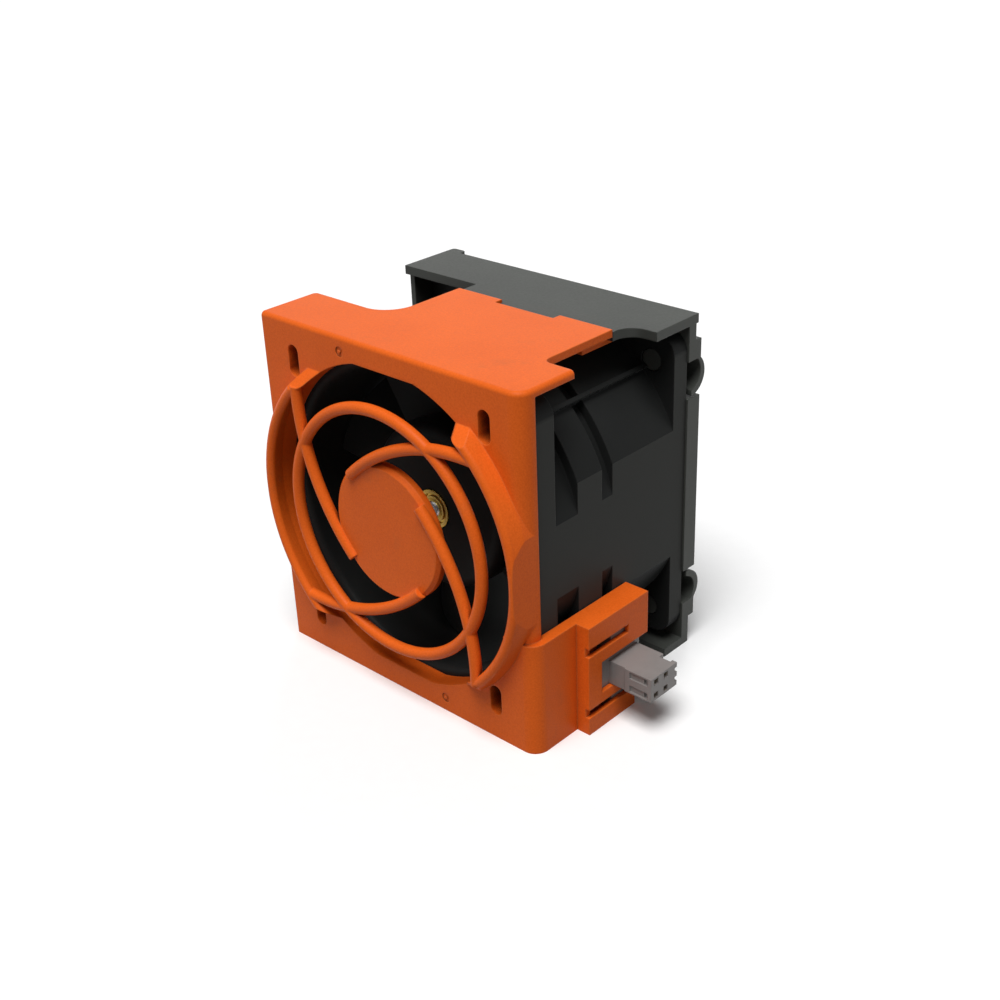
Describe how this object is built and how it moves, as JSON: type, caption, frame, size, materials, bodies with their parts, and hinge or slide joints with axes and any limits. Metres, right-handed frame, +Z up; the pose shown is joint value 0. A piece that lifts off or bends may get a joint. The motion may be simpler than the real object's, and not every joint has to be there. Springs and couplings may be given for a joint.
{
  "type": "cooling fan module",
  "caption": "Hot-plug server cooling fan module: square axial fan behind a moulded spiral finger guard, with a sprung rear frame and a floating power connector.",
  "frame": {"origin": "on the underside, straight below the rotor axis at the middle of the fan's depth", "axes": "+X to the connector's side, +Y from the guard to the back along the air flow, +Z up"},
  "size_m": [0.0748, 0.0524, 0.0674],
  "materials": {
    "orange_plastic": "fine satin moulding",
    "black_plastic": "satin moulding",
    "grey_plastic": "satin moulding",
    "white_plastic": "moulded nylon",
    "brass": "turned",
    "copper_wire": "enamelled wire",
    "steel": "ground",
    "core_steel": "stacked laminations",
    "magnet": "bonded ferrite",
    "board": "solder mask",
    "chip": "moulded epoxy",
    "can": "drawn can"
  },
  "bodies": {
    "housing": {"guard_cover": "orange_plastic", "fan_frame": "black_plastic", "rear_frame": "black_plastic", "bearing_tube": "brass", "front_bearing_outer_ring": "steel", "rear_bearing_outer_ring": "steel", "stator_core": "core_steel", "front_insulator": "white_plastic", "rear_insulator": "white_plastic", "stator_windings": "copper_wire", "winding_posts": "brass", "circuit_board": "board", "driver_chip": "chip", "hall_sensor": "chip", "capacitor": "can", "board_resistors": "chip"},
    "rotor": {"impeller": "black_plastic", "shaft_boss": "brass", "shaft": "steel", "rotor_yoke": "steel", "rotor_magnet": "magnet", "retaining_clip": "steel", "preload_spring": "steel", "front_bearing_inner_ring": "steel", "rear_bearing_inner_ring": "steel"},
    "front_rolling": {"front_bearing_balls": "steel", "front_bearing_cage": "steel"},
    "rear_rolling": {"rear_bearing_balls": "steel", "rear_bearing_cage": "steel"},
    "connector": {"connector_shell": "grey_plastic", "connector_contacts": "brass"}
  },
  "joints": [
    {"name": "rotor_spin", "type": "hinge", "parent": "housing", "child": "rotor", "pos_m": [0, 0, 0.0339], "axis": [0, -1, 0], "continuous": true},
    {"name": "front_balls_roll", "type": "hinge", "parent": "housing", "child": "front_rolling", "pos_m": [0, 0, 0.0339], "axis": [0, -1, 0], "continuous": true},
    {"name": "rear_balls_roll", "type": "hinge", "parent": "housing", "child": "rear_rolling", "pos_m": [0, 0, 0.0339], "axis": [0, -1, 0], "continuous": true},
    {"name": "connector_float", "type": "slide", "parent": "housing", "child": "connector", "axis": [0, 1, 0], "range_m": [-0.0006, 0.0006]}
  ],
  "couplings": [
    {"joint": "front_balls_roll", "follows": "rotor_spin", "ratio": 0.36364},
    {"joint": "rear_balls_roll", "follows": "rotor_spin", "ratio": 0.36364}
  ]
}
